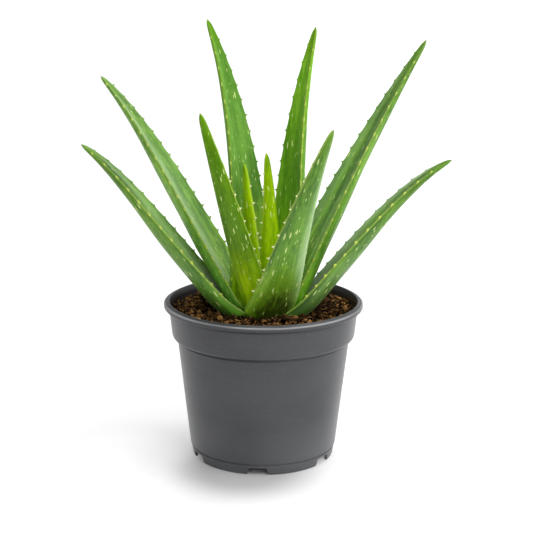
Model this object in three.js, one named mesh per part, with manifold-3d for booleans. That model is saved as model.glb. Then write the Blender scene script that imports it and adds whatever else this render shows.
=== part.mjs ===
// Potted aloe: ten spiny leaves round a short rootstock, in the soil of a nursery pot.
// Millimetres, +Z up. The origin is on the pot's axis, on the surface it stands on.
// -Y is the front of the plant. Azimuths are in degrees from -Y, positive towards +X.
import * as THREE from 'three';
import { mergeVertices } from 'three/addons/utils/BufferGeometryUtils.js';
import Module from 'manifold-3d';

const wasm = await Module();
wasm.setup();

// ---- driving dimensions ----
const GAP = 0.35; // clearance between pieces that touch
const SIDES = 48; // facets round the pot and the soil

const POT_HEIGHT = 120;
const RIM_RADIUS = 75;
const RIM_HEIGHT = 5;
const COLLAR_TOP_RADIUS = 71.1;
const COLLAR_FOOT_RADIUS = 68.9;
const LEDGE_Z = 92.8; // underside of the collar
const WALL_TOP_RADIUS = 65.2;
const WALL_FOOT_RADIUS = 55.6;
const FOOT_STEP_Z = 8.6; // where the wall steps in to the foot ring
const FOOT_RADIUS = 53.7;
const FOOT_RING_WIDTH = 2;
const WALL = 1.5;
const FLOOR_Z = 5.5; // underside of the raised floor
const NOTCH_COUNT = 6;
const NOTCH_TURN = -3.7; // azimuth of the first notch in the foot ring
const NOTCH_TOP = 13.3;
const NOTCH_BOTTOM = 16;
const DRAIN_RADIUS = 5; // round holes in the floor, one inside each notch
const DRAIN_CIRCLE = 42;

const SOIL_EDGE_Z = 112.8; // at the pot wall
const SOIL_MOUND = 0.9; // rise of the soil towards the plant
const SOIL_RINGS = 9;
const CRUMB = 1.1; // height of the crumbs on the soil surface

const STOCK_RADIUS = 9; // rootstock, with the crown on top that carries the leaves
const STOCK_BOTTOM_Z = 62;
const CROWN_RADIUS = 14;
const CROWN_Z = 108; // where the crown is widest
const CROWN_TOP_Z = 120;
const YOUNG_LEAVES = 2; // the first leaves of the list, which stand in the crown

// Leaves from the innermost to the outermost; an outer leaf gives way to an inner one.
// foot: how far from the axis and how high the leaf starts. lean: elevation of the leaf at
// its foot; fall: how much of it is lost by the tip, late when bend is high. turn: change of
// azimuth along the leaf. roll, twist: turn about its own axis, at the foot and gained by the tip.
// slip, tuck: how far the foot clasps sideways or in towards the stem, if it does. lift: of the
// teeth, where it is not TOOTH_LIFT.
const LEAVES = [
  { name: 'leaf_young_right', azimuth: 45, turn: 0, lean: 87, fall: -9, bend: 1.3,
    length: 120, width: 22, roll: -3, twist: 4, foot: [4, 112], colour: 0x7fa63a },
  { name: 'leaf_young_left', azimuth: -55, turn: 0, lean: 86, fall: 5, bend: 1.6,
    length: 114, width: 19, roll: -2, twist: 7, foot: [6, 112], colour: 0x7fa63a },
  { name: 'leaf_inner_left', azimuth: -39, turn: 6, lean: 66.5, fall: 3.5, bend: 1.8,
    length: 175, width: 27, roll: -6, twist: 17, foot: [2, 110], colour: 0x5f8f3f },
  { name: 'leaf_back_right', azimuth: 130, turn: -2, lean: 87.5, fall: 18, bend: 2.3,
    length: 216, width: 39.5, roll: 3, twist: -7, foot: [19, 108], colour: 0x4f8a3c },
  { name: 'leaf_back_left', azimuth: -146, turn: 5, lean: 85.5, fall: 32, bend: 1.8,
    length: 228, width: 39, roll: -3, twist: 13, foot: [12, 108], colour: 0x4f8a3c },
  { name: 'leaf_upper_left', azimuth: -118, turn: -13, lean: 53, fall: 23, bend: 3.6,
    length: 225, width: 44, roll: 14, twist: -4, foot: [8, 111], colour: 0x568c3e },
  { name: 'leaf_upper_right', azimuth: 113, turn: 2, lean: 61, fall: 9.5, bend: 2.2,
    length: 236, width: 43.5, roll: -1, twist: -2, foot: [9.5, 110], colour: 0x568c3e },
  { name: 'leaf_front', azimuth: 23, turn: 10, lean: 63, fall: 8, bend: 2.2,
    length: 175.1, width: 35.6, roll: -8, twist: 22, foot: [14.6, 110], slip: -5, lift: 10,
    colour: 0x5f8f3f },
  { name: 'leaf_low_right', azimuth: 84, turn: 2, lean: 50, fall: 27, bend: 4.6,
    length: 172, width: 44, roll: -2, twist: 11, foot: [17, 108], tuck: 9,
    lift: 50, colour: 0x568c3e },
  { name: 'leaf_low_left', azimuth: -89, turn: -16, lean: 49, fall: 22.5, bend: 6,
    length: 176, width: 46, roll: 5.5, twist: -7, foot: [16, 109], tuck: 10,
    lift: 50, colour: 0x568c3e },
];
const TAPER = 0.9; // a leaf narrows almost evenly to its tip
const TIP_WIDTH = 3.2;
const TIP_ROUNDING = 3; // length over which the tip rounds off
const BELLY_AT_FOOT = 0.29; // depth of the back below the margins, per width
const BELLY_GAIN = 0.17; // added to it by the tip
const CHANNEL = 0.1; // depth of the hollow in the upper face, per width
const SHEATH_THICKNESS = 6; // of the clasping foot, at its middle
const SHEATH_END = 0.22; // share of the length over which the sheath fills out
const SLIP_END = 0.3; // shares of the length over which a foot's slip and tuck fade
const TUCK_END = 0.15;
const MARGIN_THICKNESS = 1.2;

const TOOTH_RADIUS = 1.2;
const TOOTH_HEIGHT = 3.4; // with the part sunk in the margin
const TOOTH_SUNK = 1.1;
const TOOTH_HOOK = 0.45; // lean of a tooth towards the leaf's tip
const TOOTH_LIFT = 38; // degrees from straight out towards the upper face
const TOOTH_SPACING = 10; // at the foot
const TOOTH_SPACING_GAIN = 3.5; // added by the tip
const TOOTH_FIRST = 24; // bare lengths at the foot and the tip
const TOOTH_LAST = 9;

// ---- helpers ----
function seededRandom(seed) {
  let state = seed;
  return () => {
    state = (state * 1664525 + 1013904223) % 4294967296;
    return state / 4294967296;
  };
}

// A three.js geometry as a solid: shared vertices merged, collapsed triangles dropped.
function solid(geometry) {
  const bare = geometry.index ? geometry.toNonIndexed() : geometry.clone();
  bare.deleteAttribute('normal');
  bare.deleteAttribute('uv');
  const merged = mergeVertices(bare, 1e-4);
  const index = merged.index.array;
  const triVerts = [];
  for (let i = 0; i < index.length; i += 3) {
    const [a, b, c] = index.slice(i, i + 3);
    if (a !== b && b !== c && c !== a) triVerts.push(a, b, c);
  }
  const made = new wasm.Manifold(new wasm.Mesh({
    numProp: 3,
    vertProperties: merged.attributes.position.array,
    triVerts: new Uint32Array(triVerts),
  }));
  if (made.volume() < 0) throw new Error('a solid is inside out');
  return made;
}

const join = (solids) => solids.reduce((all, next) => all.add(next));

// Cutting may leave crumbs of the piece behind: only its main body is kept.
function mainBody(cut) {
  return cut.decompose().reduce((a, b) => (b.volume() > a.volume() ? b : a));
}

function meshOf(name, made, colour, roughness) {
  const { vertProperties, triVerts } = made.getMesh();
  const geometry = new THREE.BufferGeometry();
  geometry.setAttribute('position', new THREE.BufferAttribute(vertProperties, 3));
  geometry.setIndex(new THREE.BufferAttribute(triVerts, 1));
  geometry.computeVertexNormals();
  const material = new THREE.MeshStandardMaterial({ color: colour, roughness, metalness: 0 });
  const mesh = new THREE.Mesh(geometry, material);
  mesh.name = name;
  return mesh;
}

// Closed skin over rings of equally many points, with a point at each end.
function skin(start, rings, end) {
  const points = [start, ...rings.flat(), end];
  const count = rings[0].length;
  const last = points.length - 1;
  const at = (ring, k) => 1 + ring * count + (k % count);
  const index = [];
  for (let k = 0; k < count; k++) {
    index.push(0, at(0, k + 1), at(0, k));
    for (let r = 0; r + 1 < rings.length; r++) {
      index.push(at(r, k), at(r, k + 1), at(r + 1, k + 1));
      index.push(at(r, k), at(r + 1, k + 1), at(r + 1, k));
    }
    index.push(last, at(rings.length - 1, k), at(rings.length - 1, k + 1));
  }
  return new THREE.BufferGeometry().setFromPoints(points).setIndex(index);
}

// A profile of [radius, z] turned round the Z axis.
function turned(profile, sides = SIDES) {
  const points = profile.map(([radius, z]) => new THREE.Vector2(radius, z));
  return solid(new THREE.LatheGeometry(points, sides).rotateX(Math.PI / 2));
}

// ---- pot ----
const wallRadius = (z) => THREE.MathUtils.mapLinear(
  z, FOOT_STEP_Z, LEDGE_Z, WALL_FOOT_RADIUS, WALL_TOP_RADIUS);
const rimBottom = POT_HEIGHT - RIM_HEIGHT;

// Inside of the pot from the floor to the rim, also the outline of the soil in it.
const INSIDE = [
  [wallRadius(FLOOR_Z + WALL) - WALL - 1.5, FLOOR_Z + WALL],
  [wallRadius(FLOOR_Z + WALL + 2) - WALL, FLOOR_Z + WALL + 2],
  [wallRadius(LEDGE_Z - 2.5) - WALL, LEDGE_Z - 2.5],
  [COLLAR_FOOT_RADIUS - WALL, LEDGE_Z + 1.5],
  [COLLAR_TOP_RADIUS - WALL, POT_HEIGHT - 5],
];

const RIM = [
  [COLLAR_FOOT_RADIUS, LEDGE_Z + 1.6],
  [COLLAR_TOP_RADIUS, rimBottom],
  [RIM_RADIUS - 0.7, rimBottom],
  [RIM_RADIUS, rimBottom + 0.7],
  [RIM_RADIUS, POT_HEIGHT - 2],
  [RIM_RADIUS - 0.9, POT_HEIGHT - 1.3],
  [RIM_RADIUS - 2.5, POT_HEIGHT - 1],
  [RIM_RADIUS - 3.3, POT_HEIGHT],
  [RIM_RADIUS - 4.2, POT_HEIGHT - 0.2],
];

function pot() {
  const shell = turned([
    [0, FLOOR_Z], [FOOT_RADIUS - FOOT_RING_WIDTH, FLOOR_Z],
    [FOOT_RADIUS - FOOT_RING_WIDTH, 0], [FOOT_RADIUS, 0],
    [FOOT_RADIUS + 1.1, FOOT_STEP_Z - 1.6], [WALL_FOOT_RADIUS, FOOT_STEP_Z],
    [wallRadius(LEDGE_Z - 1.6), LEDGE_Z - 1.6], [WALL_TOP_RADIUS + 1.4, LEDGE_Z],
    [COLLAR_FOOT_RADIUS - 0.9, LEDGE_Z + 0.2],
    ...RIM, ...[...INSIDE].reverse(), [0, FLOOR_Z + WALL],
  ]);
  const cuts = [];
  for (let k = 0; k < NOTCH_COUNT; k++) {
    const turn = THREE.MathUtils.degToRad(NOTCH_TURN + (360 / NOTCH_COUNT) * k);
    const outline = new THREE.Shape([
      new THREE.Vector2(-NOTCH_BOTTOM / 2, -1), new THREE.Vector2(NOTCH_BOTTOM / 2, -1),
      new THREE.Vector2(NOTCH_TOP / 2, FLOOR_Z - 0.05),
      new THREE.Vector2(-NOTCH_TOP / 2, FLOOR_Z - 0.05),
    ]);
    const notch = new THREE.ExtrudeGeometry(outline, { depth: 12, bevelEnabled: false });
    notch.rotateX(Math.PI / 2).translate(0, -FOOT_RADIUS + 8, 0).rotateZ(turn);
    const drain = new THREE.CylinderGeometry(DRAIN_RADIUS, DRAIN_RADIUS, 6, 16);
    drain.rotateX(Math.PI / 2).translate(0, -DRAIN_CIRCLE, FLOOR_Z).rotateZ(turn);
    cuts.push(solid(notch), solid(drain));
  }
  return shell.subtract(join(cuts));
}

// ---- soil ----
function soil() {
  const random = seededRandom(7);
  const ring = (radius, height) => Array.from({ length: SIDES }, (_, k) => {
    const a = (2 * Math.PI * k) / SIDES;
    return new THREE.Vector3(radius * Math.cos(a), radius * Math.sin(a), height());
  });
  const sides = INSIDE.slice(0, 4).map(([radius, z], k) =>
    ring(radius - GAP, () => z + (k === 0 ? GAP : 0)));
  const edge = INSIDE[4][0] - GAP - 0.1;
  const surface = [];
  for (let k = 0; k < SOIL_RINGS; k++) {
    const inward = k / SOIL_RINGS;
    const mound = SOIL_EDGE_Z + SOIL_MOUND * Math.min(1, 1.7 * inward);
    surface.push(ring(edge * (1 - inward), () => mound + CRUMB * (2 * random() - 1)));
  }
  const bottom = new THREE.Vector3(0, 0, INSIDE[0][1] + GAP);
  const top = new THREE.Vector3(0, 0, SOIL_EDGE_Z + SOIL_MOUND);
  return solid(skin(bottom, [...sides, ...surface], top));
}

// ---- rootstock ----
function rootstock(grow = 0) {
  return turned([
    [0, STOCK_BOTTOM_Z - grow], [STOCK_RADIUS * 0.45 + grow, STOCK_BOTTOM_Z - grow],
    [STOCK_RADIUS * 0.85 + grow, STOCK_BOTTOM_Z + 12],
    [STOCK_RADIUS + grow, STOCK_BOTTOM_Z + 30],
    [CROWN_RADIUS + grow, CROWN_Z - 6 - grow], [CROWN_RADIUS + grow, CROWN_Z + 3 + grow],
    [CROWN_RADIUS * 0.8 + grow, CROWN_TOP_Z - 3 + grow],
    [CROWN_RADIUS * 0.4 + grow, CROWN_TOP_Z + grow], [0, CROWN_TOP_Z + grow],
  ], 20);
}

// ---- leaves ----
const rad = THREE.MathUtils.degToRad;

// Direction of the midrib and the way the upper face looks, at share t of the length.
function heading(leaf, t) {
  const azimuth = rad(leaf.azimuth + leaf.turn * t);
  const lean = rad(leaf.lean - leaf.fall * t ** leaf.bend);
  const out = new THREE.Vector3(Math.sin(azimuth), -Math.cos(azimuth), 0);
  const along = out.clone().multiplyScalar(Math.cos(lean)).setZ(Math.sin(lean));
  const face = out.clone().multiplyScalar(-Math.sin(lean)).setZ(Math.cos(lean));
  face.applyAxisAngle(along, rad(leaf.roll + leaf.twist * t));
  return { along, face };
}

// Frame of the leaf's section at share t: the midrib is summed up in short straight steps.
function sectionFrame(leaf, t) {
  const [out, up] = leaf.foot;
  const a = rad(leaf.azimuth);
  const place = new THREE.Vector3(out * Math.sin(a), -out * Math.cos(a), up);
  const steps = 32;
  for (let k = 0; k < steps; k++) {
    const { along } = heading(leaf, ((k + 0.5) / steps) * t);
    place.addScaledVector(along, (leaf.length * t) / steps);
  }
  const { along, face } = heading(leaf, t);
  const side = face.clone().cross(along);
  place.addScaledVector(side, (leaf.slip ?? 0) * Math.max(0, 1 - t / SLIP_END) ** 2);
  const tuck = (leaf.tuck ?? 0) * Math.max(0, 1 - t / TUCK_END) ** 2;
  place.addScaledVector(new THREE.Vector3(-Math.sin(a), Math.cos(a), 0), tuck);
  return { place, along, face, side };
}

function leafWidth(leaf, t) {
  const left = (1 - t) * leaf.length;
  const rounding = 1 - Math.exp(-left / TIP_ROUNDING);
  return leaf.width * (left / leaf.length) ** TAPER + TIP_WIDTH * rounding;
}

// Section of a leaf as [across, up] points: round back, thin margins, hollow upper face.
function section(leaf, t) {
  const width = leafWidth(leaf, t);
  const half = width / 2;
  const belly = width * (BELLY_AT_FOOT + BELLY_GAIN * t);
  const edge = Math.min(MARGIN_THICKNESS, width / 3) / 2;
  const filled = THREE.MathUtils.smoothstep(t, 0, SHEATH_END);
  const sheath = Math.max(belly - SHEATH_THICKNESS, CHANNEL * width);
  const channel = THREE.MathUtils.lerp(sheath, CHANNEL * width, filled);
  const back = [180, 158, 128, 90, 52, 22, 0].map((angle) => {
    const a = rad(angle);
    return [half * Math.cos(a), -edge - (belly - edge) * Math.sin(a) ** 0.85];
  });
  const face = [1, 0.55, 0, -0.55, -1].map((x) => [half * x, edge - channel * (1 - x * x)]);
  return [...back, ...face];
}

// Moves every side of a section outwards by the clearance.
function outset(points, grow) {
  const corner = (k) => new THREE.Vector2(...points[(k + points.length) % points.length]);
  return points.map((point, k) => {
    const before = corner(k).sub(corner(k - 1)).normalize();
    const after = corner(k + 1).sub(corner(k)).normalize();
    const miter = new THREE.Vector2(before.y + after.y, -before.x - after.x).normalize();
    const reach = grow / Math.max(0.5, miter.dot(new THREE.Vector2(after.y, -after.x)));
    return [point[0] + miter.x * reach, point[1] + miter.y * reach];
  });
}

const STATIONS = [0, 0.06, 0.13, 0.22, 0.32, 0.42, 0.52, 0.62, 0.72, 0.82, 0.9, 0.955, 0.985];

function leafBody(leaf, grow = 0) {
  const rings = STATIONS.map((t) => {
    const { place, face, side } = sectionFrame(leaf, t);
    return outset(section(leaf, t), grow).map(([across, up]) =>
      place.clone().addScaledVector(side, across).addScaledVector(face, up));
  });
  const foot = sectionFrame(leaf, 0);
  if (grow) rings[0].forEach((point) => point.addScaledVector(foot.along, -grow));
  const middle = (SHEATH_THICKNESS / 2 - BELLY_AT_FOOT * leafWidth(leaf, 0));
  const start = foot.place.clone().addScaledVector(foot.face, middle)
    .addScaledVector(foot.along, -grow);
  const tip = sectionFrame(leaf, 1);
  const end = tip.place.addScaledVector(tip.along, grow).addScaledVector(tip.face, -0.3);
  return solid(skin(start, rings, end));
}

// Small hooked teeth along both margins, a little irregular, where no other leaf lies close.
function teeth(leaf, others, random) {
  const made = [];
  for (const way of [-1, 1]) {
    let distance = TOOTH_FIRST + 4 * random();
    while (distance < leaf.length - TOOTH_LAST) {
      const t = distance / leaf.length;
      const { place, along, face, side } = sectionFrame(leaf, t);
      const size = THREE.MathUtils.lerp(1, 0.7, t) * (0.9 + 0.2 * random());
      const lift = rad(leaf.lift ?? TOOTH_LIFT);
      const point = side.clone().multiplyScalar(way * Math.cos(lift));
      point.addScaledVector(face, Math.sin(lift)).addScaledVector(along, TOOTH_HOOK);
      point.normalize();
      const height = TOOTH_HEIGHT * size;
      const cone = new THREE.ConeGeometry(TOOTH_RADIUS * size, height, 3);
      const turn = new THREE.Quaternion().setFromUnitVectors(
        new THREE.Vector3(0, 1, 0), point);
      const margin = place.addScaledVector(side, (way * leafWidth(leaf, t)) / 2);
      margin.addScaledVector(point, height / 2 - TOOTH_SUNK);
      cone.applyQuaternion(turn).translate(margin.x, margin.y, margin.z);
      const tooth = solid(cone);
      if (tooth.intersect(others).isEmpty()) made.push(tooth);
      distance += (TOOTH_SPACING + TOOTH_SPACING_GAIN * t) * (0.92 + 0.16 * random());
    }
  }
  return made;
}

// ---- assembly ----
const random = seededRandom(21);
const plant = new THREE.Group();
const grown = LEAVES.map((leaf) => leafBody(leaf, GAP));
const stock = rootstock().subtract(join(grown.slice(0, YOUNG_LEAVES)));
plant.add(meshOf('rootstock', mainBody(stock), 0x8a7a55, 0.8));
LEAVES.forEach((leaf, k) => {
  const others = join(grown.filter((_, other) => other !== k));
  let made = join([leafBody(leaf), ...teeth(leaf, others, random)]);
  if (k >= YOUNG_LEAVES) made = made.subtract(rootstock(GAP));
  if (k > 0) made = made.subtract(join(grown.slice(0, k)));
  plant.add(meshOf(leaf.name, mainBody(made), leaf.colour, 0.45));
});

const pottedAloe = new THREE.Group();
pottedAloe.name = 'potted_aloe';
pottedAloe.add(plant);
pottedAloe.add(meshOf('pot', pot(), 0x58595b, 0.5));
const rooted = soil().subtract(join([rootstock(GAP), ...grown]));
pottedAloe.add(meshOf('soil', mainBody(rooted), 0x4a3324, 0.95));

export default pottedAloe;
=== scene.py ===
"""Looks of the potted aloe: ten spotted, toothed leaves in dark crumbly soil, in a grey plastic
nursery pot. Sizes are in millimetres and become metres as each mesh is made. -Y is the front;
azimuths are in degrees from -Y, positive towards +X."""
import functools
import math
import random

import bmesh
import bpy
import numpy as np
from mathutils import Matrix, Vector, noise
from mathutils.bvhtree import BVHTree


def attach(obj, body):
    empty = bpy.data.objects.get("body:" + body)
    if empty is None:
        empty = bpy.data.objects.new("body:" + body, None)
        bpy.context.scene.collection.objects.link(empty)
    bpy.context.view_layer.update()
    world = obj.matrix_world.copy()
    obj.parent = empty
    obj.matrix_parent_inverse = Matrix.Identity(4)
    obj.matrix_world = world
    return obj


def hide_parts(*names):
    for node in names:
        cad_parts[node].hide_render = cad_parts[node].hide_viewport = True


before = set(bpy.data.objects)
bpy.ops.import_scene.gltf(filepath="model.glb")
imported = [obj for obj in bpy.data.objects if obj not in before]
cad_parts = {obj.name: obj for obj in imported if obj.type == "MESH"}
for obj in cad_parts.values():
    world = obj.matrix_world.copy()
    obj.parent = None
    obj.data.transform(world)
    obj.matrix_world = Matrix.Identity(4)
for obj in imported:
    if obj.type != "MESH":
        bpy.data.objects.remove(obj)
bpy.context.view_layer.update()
MM = 0.001

# ---- sizes of the pot and the soil
POT_HEIGHT = 120
RIM_RADIUS = 75
RIM_HEIGHT = 5
COLLAR_TOP_RADIUS = 71.1
COLLAR_FOOT_RADIUS = 68.9
LEDGE_Z = 92.8
WALL_TOP_RADIUS = 65.2
WALL_FOOT_RADIUS = 55.6
FOOT_STEP_Z = 8.6
FOOT_RADIUS = 53.7
FOOT_RING_WIDTH = 2
WALL = 1.5
FLOOR_Z = 5.5
NOTCH_COUNT = 6
NOTCH_TURN = -3.7
NOTCH_TOP = 13.3
NOTCH_BOTTOM = 16
DRAIN_RADIUS = 5
DRAIN_CIRCLE = 42
POT_SIDES = 240

# Painted shade in the pot's creases: height, reach up and down, least radius, strength.
POT_CREASE_SHADE = ((POT_HEIGHT - 5.3, 2.6, 69, 0.85), (LEDGE_Z - 0.9, 2.0, 63, 0.5),
               (FOOT_STEP_Z - 0.5, 1.0, 53.5, 0.3))
POT_RIM_HIGHLIGHT = (POT_HEIGHT - 1.5, 1.0, 73.6)  # where a pale band along the rim's top is a painted highlight

SOIL_RADIUS = 69.1
SOIL_EDGE_Z = 112.4
SOIL_MOUND = 1.0
BED_SIDES = 220
BED_DEPTH = 3.4  # of the bed below the surface that the crumbs lie at
CRUMB_SHADE_HEIGHTS = (-0.6, 1.5)  # painted shade: heights over the soil at which a crumb is dark and fully lit
CRUMB_SHADED_TONE = 0.02  # tone of the painted shade low between the crumbs
LEAF_SHADE_TONE = 0.48  # painted shade under the leaves: tone at them, as a share of that away from them
LEAF_SHADE_REACH = (2, 15)
# Loose soil: name, subdivisions and number of shapes, how many are strewn, sizes, tones, share
# of pale ones, depth.
CRUMBS = (("soil_clumps", 3, 10, 620, (0.9, 2.2), (0.25, 0.95), 0.0, 0.6),
          ("soil_crumbs", 2, 12, 2400, (0.5, 1.4), (0.2, 1.0), 0.01, 0.6),
          ("soil_grains", 1, 8, 3800, (0.25, 0.7), (0.2, 1.0), 0.03, 0.2))
FIBRE_COUNT = 110
FIBRE_CLEARANCE = 4  # from the leaves
FIBRE_PALENESS = 0.35
SOIL_SEED = 5

# ---- the leaves, as in the solids
# turn: of the azimuth by the tip. lean: elevation at the foot, and fall: what is lost of it by
# the tip, late when bend is high. roll: at the foot, and twist: what it gains by the tip. foot:
# distance from the axis and height of the leaf's start. slip, tuck: how far the foot clasps
# sideways or in towards the stem. lift: of the teeth, where it is not TOOTH_LIFT.
LEAF_COLUMNS = "name azimuth turn lean fall bend length width roll twist foot".split()
LEAF_ROWS = (
    ("leaf_young_right", 45, 0, 87, -9, 1.3, 120, 22, -3, 4, (4, 112), {}),
    ("leaf_young_left", -55, 0, 86, 5, 1.6, 114, 19, -2, 7, (6, 112), {}),
    ("leaf_inner_left", -39, 6, 66.5, 3.5, 1.8, 175, 27, -6, 17, (2, 110), {}),
    ("leaf_back_right", 130, -2, 87.5, 18, 2.3, 216, 39.5, 3, -7, (19, 108), {}),
    ("leaf_back_left", -146, 5, 85.5, 32, 1.8, 228, 39, -3, 13, (12, 108), {}),
    ("leaf_upper_left", -118, -13, 53, 23, 3.6, 225, 44, 14, -4, (8, 111), {}),
    ("leaf_upper_right", 113, 2, 61, 9.5, 2.2, 236, 43.5, -1, -2, (9.5, 110), {}),
    ("leaf_front", 23, 10, 63, 8, 2.2, 175.1, 35.6, -8, 22, (14.6, 110),
     dict(slip=-5, lift=10)),
    ("leaf_low_right", 84, 2, 50, 27, 4.6, 172, 44, -2, 11, (17, 108), dict(tuck=9, lift=50)),
    ("leaf_low_left", -89, -16, 49, 22.5, 6, 176, 46, 5.5, -7, (16, 109),
     dict(tuck=10, lift=50)),
)
LEAVES = [dict(zip(LEAF_COLUMNS, row), **row[-1]) for row in LEAF_ROWS]

# Looks of each leaf. foot, tone: colours of the skin at the foot and from the middle up, times
# # tip at the tip. foot_back: the foot's colour on the back, where it is another one. rim: colour
# # of the margins. wax: grey bloom on the upper face and on the back. spots: size of the pale
# # dashes. dark: how dark the back is low down, partly its own colour and partly painted shade.
# # teeth: their size. highlight_stripe: place, from -1 to 1 across the upper face, and strength of
# # a painted highlight along it; lit_flank: the same on the back, as painted light on the flank.
# # pale: the margin (-1 or 1) with pale beads and teeth, where they are green on the other one.
USUAL_LOOKS = dict(tip=1, wax=(0, 0), dark=0, teeth=1, highlight_stripe=(0, 0), lit_flank=(0, 0), pale=0)
LOOKS = {
    "leaf_young_right": dict(foot="#80a600", tone="#92bc08", tip=0.9, rim="#a4c81c", spots=1.35),
    "leaf_young_left": dict(foot="#7ea400", tone="#9cc80a", rim="#a4c81c", spots=1.35),
    # Bright feet of the inner leaves: painted light, for light that shines through them.
    "leaf_inner_left": dict(
        foot="#ccf604", tone="#507c04", tip=1.15, rim="#6c9c08", wax=(0, 0.1), spots=0.8,
        teeth=0.9),
    "leaf_back_right": dict(
        foot="#b4fa00", foot_back="#86b23a", tone="#6ea626", tip=1.3, rim="#6a9c0c",
        wax=(0, 0.7), spots=1.25, teeth=0.9, pale=-1),
    "leaf_back_left": dict(
        foot="#d0ff20", foot_back="#8cb83e", tone="#609434", rim="#5e9008", wax=(0.1, 0.4),
        spots=0.85, pale=1),
    "leaf_upper_left": dict(
        foot="#5c962a", tone="#6c9e34", tip=0.78, rim="#4c8200", wax=(0.25, 0.45), spots=0.75,
        dark=0.1, teeth=1.2, highlight_stripe=(0.5, 0.5), pale=1),
    "leaf_upper_right": dict(
        foot="#6fab24", tone="#5c9020", tip=0.7, rim="#4c8200", wax=(0.2, 0.2), spots=0.9,
        dark=0.1, teeth=1.1, highlight_stripe=(0.8, 0.3), pale=-1),
    "leaf_front": dict(
        foot="#8cc028", tone="#548520", tip=0.85, rim="#7fa63c", wax=(0.15, 0.15), spots=1,
        dark=1.6, lit_flank=(0.85, 1)),
    "leaf_low_right": dict(
        foot="#2f540c", tone="#568618", tip=0.66, rim="#488000", wax=(0.25, 0.42), spots=1,
        dark=0.4, highlight_stripe=(0.95, 0.8), pale=-1),
    "leaf_low_left": dict(
        foot="#518a20", tone="#528016", tip=0.66, rim="#488000", wax=(0.4, 0.3), spots=1,
        dark=0.4, highlight_stripe=(-0.5, 0.3), pale=1),
}
YOUNG_LEAVES = ("leaf_young_right", "leaf_young_left")
INNER_LEAVES = ("leaf_inner_left", "leaf_back_right", "leaf_back_left")
PALE_TOOTHED = YOUNG_LEAVES + ("leaf_inner_left", "leaf_front")
# Skins: specular level, sheen, and how deep and how light the mottles get, from 0 to 1. With age
# the skin grows waxier and its mottles bolder.
SKINS = {"aloe_young": (0.03, 0.02, (0.22, 0.72)), "aloe_inner": (0.07, 0.04, (0.2, 0.78)),
         "aloe_outer": (0.32, 0.08, (0.0, 1.0))}
DEEP_TINT = (0.3, 0.46, 0.17, 1.0)  # what the darkest and lightest mottles make of the skin
LIGHT_TINT = (1.62, 1.4, 1.6, 1.0)
HIGHLIGHT_STRIPE_WIDTH = 0.4  # of the painted highlights, as a share of half the leaf's width
LIT_FLANK_WIDTH = 0.45
BEAD_SPACING = 6.5
# Colours of beads and teeth: on the pale margins, and on the green ones.
PALE_BEAD, PALE_TOOTH, YELLOW_TOOTH = "#d8e27e", "#e6eab4", "#c6d84c"
GREEN_BEAD, GREEN_TOOTH = "#7fa43a", "#7b9c34"
TAPER = 0.9
TIP_WIDTH = 3.2
TIP_ROUNDING = 3
BELLY_AT_FOOT = 0.29
BELLY_GAIN = 0.17
CHANNEL = 0.1
SHEATH_THICKNESS = 6
SHEATH_END = 0.22
SLIP_END = 0.3  # shares of the length over which a foot that slips or tucks in comes back
TUCK_END = 0.15
MARGIN_THICKNESS = 1.2
FOOT_ROUNDING = 0.055  # share of the length over which the foot is rounded
WAVE_HEIGHT = 0.6  # of faint waves in the skin
RIB_HEIGHT = 0.7  # of ribs low on the upper face
# How far along and aside in the patterns each next leaf lies, and its upper face from its back.
LEAF_STRIDE = (300, 10)
FACE_STRIDE = (150, 3)
RELIEF_STRIDE = 7.3  # the same for the waves and ribs
INNER_END = 0.42  # share up to which the upper face is yellower

TOOTH_HEIGHT = 2.5  # above the margin
TOOTH_SUNK = 0.9
TOOTH_LENGTH = 1.8  # half its foot, along the margin
TOOTH_THICKNESS = 0.85  # half its foot, through the leaf
TOOTH_HOOK = 0.3
TOOTH_LIFT = 38  # degrees from straight out towards the upper face
SWELLING = 0.35  # of the margin at a tooth
SWELLING_REACH = (3.6, 1.3)  # of it towards the tip and towards the foot
TOOTH_SPACING = 10
TOOTH_SPACING_GAIN = 3.5
TOOTH_FIRST = 24
TOOTH_LAST = 9
TOOTH_CLEARANCE = 1.2  # from the other leaves, 2 mm out from the margin
TOOTH_SEED = 21

STOCK_RADIUS = 9
STOCK_BOTTOM_Z = 62
CROWN_RADIUS = 14
CROWN_Z = 108
CROWN_TOP_Z = 120

# ---- the camera
CAMERA_AIM = (2.1, 0, 145.3)
CAMERA_DISTANCE = 1059
CAMERA_ELEVATION = 14.0
CAMERA_ROLL = 0.32
FOCAL_PIXELS = 1412  # of the 533-pixel frame
FRAME_PIXELS = 533
SENSOR_WIDTH = 36

# ---- the light
WORLD_LEFT = 0.42
WORLD_RIGHT = 1.1
WORLD_ABOVE = 0.68  # times as bright as near the floor
# Lamps: name, where the light comes from, strength, spread in degrees.
SUNS = (("key", (0.8, -0.45, 0.7), 0.6, 70), ("top", (0.16, 0.26, 1.0), 1.8, 35),
        ("front", (0.2, -0.8, 0.75), 0.95, 80))
FLOOR_HALF = 12000
FLOOR_TONES = ("#dadada", "#dcdcdc")
FLOOR_GLOW = (0.15, 0.4)  # painted light: how brightly the floor glows, at the pot's left and right
GLOW_REACH = 300  # either side of the pot, over which the glow changes
# Centres of two patches of it, and the radii between which they fade. It does not glow under
# # the pot and close in front of it, which paints the pot's shadow there, and glows more at the
# # left, painted light which softens that shadow.
SHADE = ((-14, -46), (24, 66))
FILL = ((-86, -36), (20, 90))
FILL_STRENGTH = 0.16


# ---- helpers: meshes
def smoothstep(x, low, high):
    u = np.clip((np.asarray(x, float) - low) / (high - low), 0, 1)
    return u * u * (3 - 2 * u)


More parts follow.
